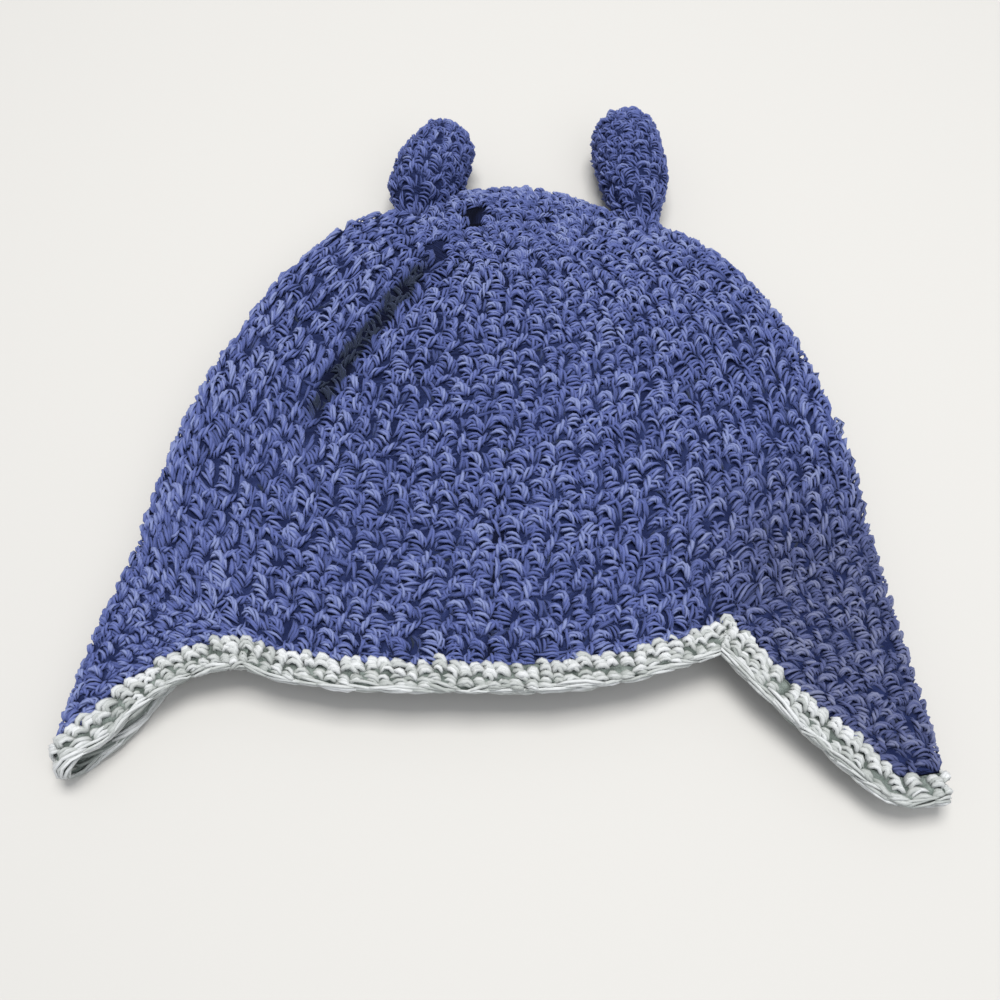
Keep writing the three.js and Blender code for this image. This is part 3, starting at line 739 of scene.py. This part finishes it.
def attribute(tree, name, output="Fac"):
    return node(tree, "ShaderNodeAttribute", output, attribute_name=name)


def add_times(tree, value, factor, rest):
    """value x factor + rest"""
    return node(tree, "ShaderNodeMath", "Value", {0: value, 1: factor, 2: rest}, operation="MULTIPLY_ADD")


def colours(tree, at, *stops):
    """The colour at a place on a ramp, given its first stop, its last one and those between."""
    ramp = tree.nodes.new("ShaderNodeValToRGB")
    tree.links.new(at, ramp.inputs["Fac"])
    for element, (place, colour) in zip(ramp.color_ramp.elements, stops):
        element.position = place
        element.color = (*colour, 1)
    for place, colour in stops[2:]:
        ramp.color_ramp.elements.new(place).color = (*colour, 1)
    return ramp.outputs["Color"]


def material(name, surface):
    """A new material, with a surface whose inputs are worked out by surface(tree)."""
    made = bpy.data.materials.new(name)
    made.use_nodes = True
    tree = made.node_tree
    tree.nodes.clear()
    shader = node(tree, "ShaderNodeBsdfPrincipled", "BSDF", surface(tree))
    tree.links.new(shader, tree.nodes.new("ShaderNodeOutputMaterial").inputs["Surface"])
    return made


def yarn(name, deep, dark, mid, light, sheen, right_shade_tint=(1.0, 1.0, 1.0, 1.0)):
    """Plied yarn with fine fibres along each strand, with painted shade deep between the stitches and a
    painted greyer shade at the right.
    """

    def surface(tree):
        place = attribute(tree, "thread", "Vector")
        along = node(tree, "ShaderNodeMapping", "Vector", {"Vector": place, "Scale": (4.2, 4.2, 0.55)})
        fibre = node(tree, "ShaderNodeTexNoise", "Fac", {
            "Vector": along, "Scale": 1.0, "Detail": 3.0, "Roughness": 0.6,
        })
        patchy = node(tree, "ShaderNodeTexNoise", "Fac", {"Vector": place, "Scale": 0.35, "Detail": 1.0})
        shade = add_times(tree, attribute(tree, "tone_and_shade"), 1.0, -0.35)
        shade = add_times(tree, fibre, 0.5, shade)
        shade = add_times(tree, patchy, 0.2, shade)
        # The ramp paints shade and light: deep for the crease's painted shade, dark for painted shade between
        # strands, mid and light for raised strands painted lighter, with random fibres and patches on top.
        colour = colours(tree, shade, (0.0, deep), (1.0, light), (0.14, dark), (0.68, mid))
        right_shade = {0: attribute(tree, "right_shade"), 6: colour, 7: right_shade_tint}
        return {
            "Base Color": node(tree, "ShaderNodeMix", 2, right_shade, data_type="RGBA", blend_type="MULTIPLY"),
            "Roughness": 0.7, "Specular IOR Level": 0.2, "Sheen Weight": sheen, "Sheen Roughness": 0.5,
            "Sheen Tint": tuple(min(1, 1.7 * c) for c in light) + (1,),
            "Normal": node(tree, "ShaderNodeBump", "Normal", {
                "Strength": 0.55, "Distance": 0.00025, "Height": fibre,
            }),
        }

    return material(name, surface)


def backing(name, dark, light):
    """The fabric behind the stitches and inside the hat: small loops in rows, painted darker than the yarn as
    shade, and darkened further by each vertex's painted shade.
    """

    def surface(tree):
        place = attribute(tree, "thread", "Vector")
        along = node(tree, "ShaderNodeMapping", "Vector", {"Vector": place, "Scale": (0.42, 0.42, 1.0)})
        loops = node(tree, "ShaderNodeTexVoronoi", "Distance", {"Vector": along, "Scale": 1.0}, feature="F1")
        strands = node(tree, "ShaderNodeTexNoise", "Fac", {"Vector": place, "Scale": 2.0, "Detail": 4.0})
        toned = {0: colours(tree, loops, (0.05, light), (0.75, dark)), "Scale": attribute(tree, "tone_and_shade")}
        return {
            "Base Color": node(tree, "ShaderNodeVectorMath", "Vector", toned, operation="SCALE"),
            "Roughness": 0.95, "Specular IOR Level": 0.1,
            "Normal": node(tree, "ShaderNodeBump", "Normal", {
                "Strength": 0.9, "Distance": 0.0009, "Height": add_times(tree, loops, -1.5, strands),
            }),
        }

    return material(name, surface)


# Ramp colours: deep and dark are painted shade, light is painted light on raised strands.
navy = yarn(
    "navy_yarn_strands", deep=(0.010, 0.016, 0.032), dark=(0.030, 0.044, 0.142), mid=(0.084, 0.109, 0.290),
    light=(0.182, 0.217, 0.405), sheen=0.3, right_shade_tint=(0.86, 0.79, 0.68, 1.0),
)
# The navy backing is painted darker than the navy yarn, as shade behind the stitches.
navy_back = backing("navy_yarn_backing", dark=(0.012, 0.018, 0.065), light=(0.026, 0.038, 0.120))
sage = yarn(
    "sage_yarn_strands", deep=(0.10, 0.115, 0.105), dark=(0.21, 0.235, 0.22), mid=(0.385, 0.405, 0.395),
    light=(0.60, 0.615, 0.625), sheen=0.15,
)
# The sage backing is painted darker than the sage yarn, as shade behind the stitches.
sage_back = backing("sage_yarn_backing", dark=(0.10, 0.12, 0.11), light=(0.25, 0.29, 0.27))

# The hat's body

body = body_patch()
ROUNDS_BEGUN = math.ceil(ROUND_COUNT)
LEAN = -0.0014  # drift of the columns of stitches, a share of the round for each round
TILT = 0.35  # how much a round runs higher at the right, in rounds
SWAY, WAVE = 0.0035, 0.26  # how far the columns sway, in shares of the round, and the rounds wave, in rounds


def body_warp(v, f):
    """Rounds run unevenly and a little higher at the right, and the columns drift on their way down."""
    f = f + LEAN * v * ROUND_COUNT
    across, down = f * 64, v * ROUND_COUNT
    f = f + SWAY * ripple(across, down, 2.6, 5)
    v = v - TILT / ROUND_COUNT * np.sin(2 * np.pi * f) * 4 * v * np.clip(1 - v, 0, 1)
    return v + WAVE / ROUND_COUNT * ripple(across, down, 3.3, 6) * np.clip(4 * (1 - v), 0, 1), f


def body_origins():
    """Every stitch: its round, its number, the stitches in its round, its share of the round, its size."""
    origins = []
    for r in range(ROUNDS_BEGUN):
        length = body.length(min((r + 0.6) / ROUND_COUNT, 1))
        count = max(6, round(length / STITCH))
        f = (np.arange(count) + 0.5) / count
        ends = [body.at(np.full(count, min(e / ROUND_COUNT, 1)), f, np.zeros(count))[0] for e in (r, r + 1)]
        height = np.linalg.norm(ends[1] - ends[0], axis=1)
        v = np.full(count, min((r + 0.5) / ROUND_COUNT, 1))
        sides = [body.at(v, f + e / count, np.zeros(count))[0] for e in (-0.5, 0.5)]
        width = np.linalg.norm(sides[1] - sides[0], axis=1)
        for j in range(count):
            whole = r < ROUNDS_BEGUN - 1
            split = max(1, round(height[j] / ROUND)) if whole else 1
            narrow = 2 if whole and width[j] > 1.05 * height[j] / split else 1
            size = np.clip(math.sqrt(width[j] / narrow * height[j] / split / (STITCH * ROUND)), 0.6, 1.0)
            for k in range(split):
                for i in range(narrow):
                    origins.append((r + k / split, j * narrow + i, count * narrow, 1 / split, size))
    return np.array(origins, dtype=float)


origins = body_origins()
f = np.mod((origins[:, 1] + 0.5) / origins[:, 2], 1.0)
middle, facing = body.at((origins[:, 0] + 0.5) / ROUND_COUNT, f, np.zeros(len(origins)))
seen = facing[:, 2] > SEEN_FROM
on_body = on_patch(body, ROUND_COUNT, body_warp)
fine, plain = stitch(STITCH_YARN), stitch(PLAIN_YARN)

# The crease's line: x, y, and how strong it is there, which sets how deep it sinks the stitches and how dark
# their painted shade is.
CREASE = np.array([
    (-8.6, -18.5, 0.0), (-15.6, -26.0, 0.15), (-25.8, -41.8, 0.7), (-32.1, -51.3, 1.0), (-38.4, -60.5, 1.0),
    (-43.8, -68.9, 0.95), (-48.9, -82.1, 0.7), (-50.5, -93.2, 0.0),
])
CREASE_HALF, CREASE_SOFT, CREASE_DEPTH = 0.9, 2.5, 0.7


def crease(path):
    """How far in the crease a place is, 0 to 1, with an uneven edge."""
    nearest, dark = np.full(path.shape[:-1], 1e9), np.zeros(path.shape[:-1])
    for a, b in zip(CREASE[:-1], CREASE[1:]):
        way = (b - a)[:2]
        t = np.clip(((path[..., :2] - a[:2]) @ way) / (way @ way), 0, 1)
        distance = np.linalg.norm(path[..., :2] - a[:2] - t[..., None] * way, axis=-1)
        dark = np.where(distance < nearest, a[2] + t * (b[2] - a[2]), dark)
        nearest = np.minimum(distance, nearest)
    holes = np.clip(ripple(path[..., 0], path[..., 1], 4.0, 9) * 1.5, -1, 1)
    edge = nearest + 0.9 * ripple(path[..., 0], path[..., 1], 3.1, 8)
    strength = np.clip(dark * (1 + 0.25 * holes), 0, 1)
    on_front = path[..., 2] > LOFT * 0.3
    return strength * np.exp(-((np.clip(edge - CREASE_HALF, 0, None) / CREASE_SOFT) ** 2)) * on_front


def creased(path):
    """How light the stitches are, as painted shade. They're darkest well before the crease's middle."""
    return 1 - 1.5 * crease(path)


def where_body(x, y, height, origins):
    path, _ = on_body(x, y, height, origins)
    return on_body(x, y, height - CREASE_DEPTH * crease(path), origins)


# Round the starting ring the stitches are small and turned every way. They're laid by their place in plan.
CAP_ROUNDS, CAP_BACK = 2, -4.0
CAP_STITCH, CAP_ROUND, CAP_GROWTH = 4.8, 6.4, 1.05

# The gaps where the first rounds pull apart, with painted shade on the skin behind: the x and y of their
# middles, and how far each clears.
CROWN_GAPS = np.array([(-8.4, -11.6), (-7.8, -20.8), (5.2, -14.5), (17.4, -15.3)])
CROWN_GAP = 2.9


def from_gap(points):
    """How far each place is, in plan, from the nearest gap of the crown."""
    apart = np.asarray(points)[..., None, :2] - CROWN_GAPS
    return np.hypot(apart[..., 0], apart[..., 1]).min(axis=-1)


vv, ff = np.meshgrid(np.linspace(0.02, 3.2, 64) / ROUND_COUNT, np.linspace(0, 1, 221)[:-1], indexing="ij")
cap_points, cap_normals = (a.reshape(-1, 3) for a in body.at(vv, ff, np.zeros(vv.shape)))
cap_points, cap_normals, cap_at = (a[cap_normals[:, 2] > 0.3] for a in (cap_points, cap_normals, vv.ravel()))


def nearest_in_plan(plan):
    """The number of the crown's point nearest to each place, worked out for some at a time."""
    flat, some = plan.reshape(-1, 2), 400
    found = []
    for i in range(0, len(flat), some):
        found.append(((flat[i : i + some, None] - cap_points[:, :2]) ** 2).sum(axis=-1).argmin(axis=1))
    return np.concatenate(found).reshape(plan.shape[:-1])


def where_cap(x, y, height, origins):
    """Places and normals of a stitch on the crown. Origins: x, y, turn and scale."""
    turn, scale = origins[:, 2:3], origins[:, 3:4]
    a, b = (x - STITCH / 2) * scale, (ROUND / 2 - y) * scale
    plan_x = origins[:, 0:1] + a * np.cos(turn) - b * np.sin(turn)
    plan_y = origins[:, 1:2] + a * np.sin(turn) + b * np.cos(turn)
    plan = np.stack([plan_x, plan_y], axis=-1)
    found = nearest_in_plan(plan)
    normal, point = cap_normals[found], cap_points[found]
    z = point[..., 2] - (normal[..., :2] * (plan - point[..., :2])).sum(axis=-1) / normal[..., 2]
    return np.concatenate([plan, z[..., None]], axis=-1) + normal * height[..., None], normal


cap_origins = []
for i, y in enumerate(np.arange(-44.0, CAP_BACK, CAP_ROUND)):
    for x in np.arange(-28.0 + CAP_STITCH / 2 * (i % 2), 34.0, CAP_STITCH):
        place = np.array([x, y]) + rng.normal(0, 0.7, 2)
        if cap_at[nearest_in_plan(place[None])[0]] * ROUND_COUNT < CAP_ROUNDS and place[1] < CAP_BACK:
            cap_origins.append((*place, rng.normal(0, 0.45), rng.uniform(0.70, 0.88)))
cap_origins = np.array(cap_origins)
cap_origins = cap_origins[from_gap(cap_origins[:, :2]) > CROWN_GAP]

rows = origins[:, 0]
capped = (rows < CAP_ROUNDS) & (middle[:, 1] < CAP_BACK) & seen
seen, unseen = seen & ~capped, ~seen
parts = [
    ("hat_front_upper", seen & (rows < 6), fine, 4),
    ("hat_front_middle", seen & (rows >= 6) & (rows < 10), fine, 4),
    ("hat_front_lower", seen & (rows >= 10), fine, 4),
    ("hat_back", unseen, plain, 3),
]
for name, chosen, strands, sides in parts:
    heap = Heap()
    if name == "hat_front_upper":
        lay(heap, where_cap, fine, cap_origins, 4, shade=creased, size=cap_origins[:, 3] * CAP_GROWTH)
    lay(heap, where_body, strands, origins[chosen], sides, shade=creased, size=origins[chosen, 4])
    heap.piece(name, [navy])



# Painted shade on the skin behind the stitches: darker in the crease and in the crown's gaps.
def core_painted_shade(points):
    return 1 - 0.85 * np.maximum(crease(points), from_gap(points) < 1.6 * CROWN_GAP)


heap = Heap()
core(heap, body, 48, 140, outer=-1.9, inner=SKIN_INSIDE, shade=core_painted_shade)
hat_core = heap.piece("hat_core", [navy_back])
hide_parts("hat_body")

# The earflaps

FLAP_STITCH, FLAP_ROUND, FLAP_YARN = 5.2, 8.3, 0.88

for flap, name in zip(FLAPS, ["left", "right"]):
    patch = flap_patch(flap)
    height = FLAP_LENGTH * (flap["foldY"] + flap["frontY"]) / 2
    rounds = max(3, round(height / FLAP_ROUND))
    flap_origins = []
    for r in range(rounds):
        length = patch.length((r + 0.5) / rounds)
        count = max(2, round(length / FLAP_STITCH))
        flap_origins += [(r, j, count, 1) for j in range(count)]
    heap = Heap()
    cover(heap, patch, rounds, flap_origins, size=FLAP_YARN)
    core(heap, patch, 24, 60, outer=-1.5, inner=SKIN_INSIDE, material=1)
    piece = heap.piece(f"earflap_{name}_crochet", [navy, navy_back])
    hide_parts(f"earflap_{name}")

# The edging. One stitch of it is given in the same way, with x along the edge and y over its section.
EDGING_YARN = [
    (4, 0.0, (0.28, 0.68), 0.69, 6, [
        (-0.3, 0.9, -1.2), (0.5, 0.2, 0.00), (1.6, 0.3, 0.26), (2.6, 1.3, -1.0),
    ]),
    (3, 0.0, (0.16, 0.80), 0.71, 6, [(2.9, 1.1, -1.2), (3.7, 0.4, 0.00), (4.8, 0.3, 0.26), (6.3, 1.5, -1.0)]),
    (3, 0.0, (0.20, 0.72), 0.57, 6, [
        (-0.5, 4.4, -1.6), (0.6, 3.8, -0.62), (2.0, 3.8, -0.45), (3.0, 4.7, -1.3),
    ]),
    (3, 0.0, (0.20, 0.72), 0.57, 6, [
        (2.8, 4.3, -1.6), (3.9, 3.7, -0.66), (5.2, 3.9, -0.50), (6.1, 4.7, -1.3),
    ]),
    (3, 0.0, (0.30, 0.78), 0.46, 6, [
        (-1.9, 6.9, -0.9), (0.4, 6.4, -0.50), (3.2, 6.2, -0.4), (5.4, 6.4, -0.5), (7.8, 6.9, -0.9),
    ]),
    (2, 0.0, (0.20, 1.00), 0.58, 5, [(-1.4, 8.8, -0.8), (2.5, 8.5, -0.5), (7.4, 8.9, -0.8)]),
    (3, 0.0, (0.20, 1.10), 0.60, 5, [(-1.4, 10.7, -0.8), (2.5, 10.4, -0.5), (7.4, 10.8, -0.8)]),
]
EDGING_CORE = -0.9  # height of the band behind the edging's stitches
EDGING_CORE_START = 0.4  # how far over the section from the front the band starts

edge = Edging(FLAPS)
edge_count = round(edge.length / STITCH)


def where_edge(x, y, height, origins):
    s = (origins[:, 0:1] + x / STITCH) * edge.length / edge_count
    return edge.at(s, y, height)


heap = Heap()
edge_origins = np.arange(edge_count, dtype=float)[:, None]
edge_lengths = stitch(EDGING_YARN, ends=0.6)
lay(heap, where_edge, edge_lengths[:-1], edge_origins, 4, uneven=0.75, mottle=0.03)
# Painted shade: the innermost length, in the gap between the hat's two layers, is painted dark.
lay(heap, where_edge, edge_lengths[-1:], edge_origins, 4, uneven=0.75, shade=lambda path: 0.3)
section = 2 * (EDGING_DEPTH - EDGING_THICKNESS / 2) + np.pi * EDGING_THICKNESS / 2
across = np.linspace(EDGING_CORE_START, section - EDGING_CORE_START, 12)
along = np.linspace(0, edge.length, 501)[:-1]
ss, aa = np.meshgrid(along, across, indexing="ij")
points, _ = edge.at(ss, aa, np.full(ss.shape, EDGING_CORE))
index = np.arange(ss.size).reshape(ss.shape)
ahead = np.roll(index, -1, axis=0)
around, ahead_around = np.roll(index, -1, axis=1), np.roll(ahead, -1, axis=1)
quads = np.stack([index, around, ahead_around, ahead], axis=-1).reshape(-1, 4)
thread = np.stack([ss, aa, np.zeros(ss.shape)], axis=-1).reshape(-1, 3)
heap.add(points.reshape(-1, 3), quads, NO_TRIANGLES, thread, np.ones(ss.size), 1)
edging_piece = heap.piece("edging_crochet", [sage, sage_back])
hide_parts("edging")

# The ears

# The last number is painted shade: the ears' stitches are painted darker, as their curved sides turn away
# from the light.
EAR_STITCH, EAR_ROUND, EAR_YARN, EAR_PAINTED_SHADE = 5.6, 7.2, 0.85, 0.85

for i, (ear, name) in enumerate(zip(EARS, ["left", "right"])):
    patch = ear_patch(i, ear)
    rounds = round((ear["length"] * (1 + EAR_SINK)) / EAR_ROUND)
    ear_origins = []
    for r in range(rounds):
        length = patch.length((r + 0.6) / rounds)
        count = max(5, round(length / EAR_STITCH))
        ear_origins += [(r, j, count, 1) for j in range(count)]
    heap = Heap()
    cover(heap, patch, rounds, ear_origins, shade=lambda path: EAR_PAINTED_SHADE, size=EAR_YARN)
    core(heap, patch, 30, 48, outer=-1.3, inner=-2.2, material=1)
    piece = heap.piece(f"ear_{name}_crochet", [navy, navy_back])
    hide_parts(f"ear_{name}")

# Floor, light and camera

FLOOR = 3.0
floor_mesh = bpy.data.meshes.new("floor")
corners = [(-FLOOR, -FLOOR, 0), (FLOOR, -FLOOR, 0), (FLOOR, FLOOR, 0), (-FLOOR, FLOOR, 0)]
floor_mesh.from_pydata(corners, [], [(0, 1, 2, 3)])
floor = bpy.data.objects.new("floor", floor_mesh)
bpy.context.scene.collection.objects.link(floor)
pale = bpy.data.materials.new("pale_floor")
pale.use_nodes = True
surface = pale.node_tree.nodes["Principled BSDF"].inputs
surface["Base Color"].default_value = (0.52, 0.51, 0.49, 1)
surface["Roughness"].default_value = 0.7
floor_mesh.materials.append(pale)


def area_light(name, place, size, energy, colour):
    """A soft rectangle of light that looks at the middle of the floor."""
    light = bpy.data.lights.new(name, "AREA")
    light.shape = "RECTANGLE"
    light.size, light.size_y = size
    light.energy = energy
    light.color = colour
    made = bpy.data.objects.new(name, light)
    made.location = place
    made.rotation_euler = (-Vector(place)).to_track_quat("-Z", "Y").to_euler()
    bpy.context.scene.collection.objects.link(made)


area_light("window", place=(0.02, 0.18, 1.1), size=(0.6, 0.5), energy=13.2, colour=(1.0, 0.985, 0.96))
area_light("fill", place=(0.4, -0.6, 0.9), size=(1.0, 1.0), energy=4.0, colour=(0.95, 0.97, 1.0))
world = bpy.data.worlds.new("studio")
world.use_nodes = True
background = world.node_tree.nodes["Background"].inputs
background["Color"].default_value = (0.93, 0.96, 1.0, 1)
background["Strength"].default_value = 0.55
bpy.context.scene.world = world
bpy.context.scene.view_settings.view_transform = "Standard"

ELEVATION, DISTANCE = math.radians(62.0), 0.272
target = Vector((0.00086, -0.02537, 0.0))
camera_data = bpy.data.cameras.new("camera")
camera_data.sensor_width = 36.0
camera_data.lens = 36.0
camera_data.clip_start = 0.01
camera = bpy.data.objects.new("camera", camera_data)
camera.location = target + DISTANCE * Vector((0, -math.cos(ELEVATION), math.sin(ELEVATION)))
camera.rotation_euler = (math.pi / 2 - ELEVATION, 0, 0)
bpy.context.scene.collection.objects.link(camera)
bpy.context.scene.camera = camera
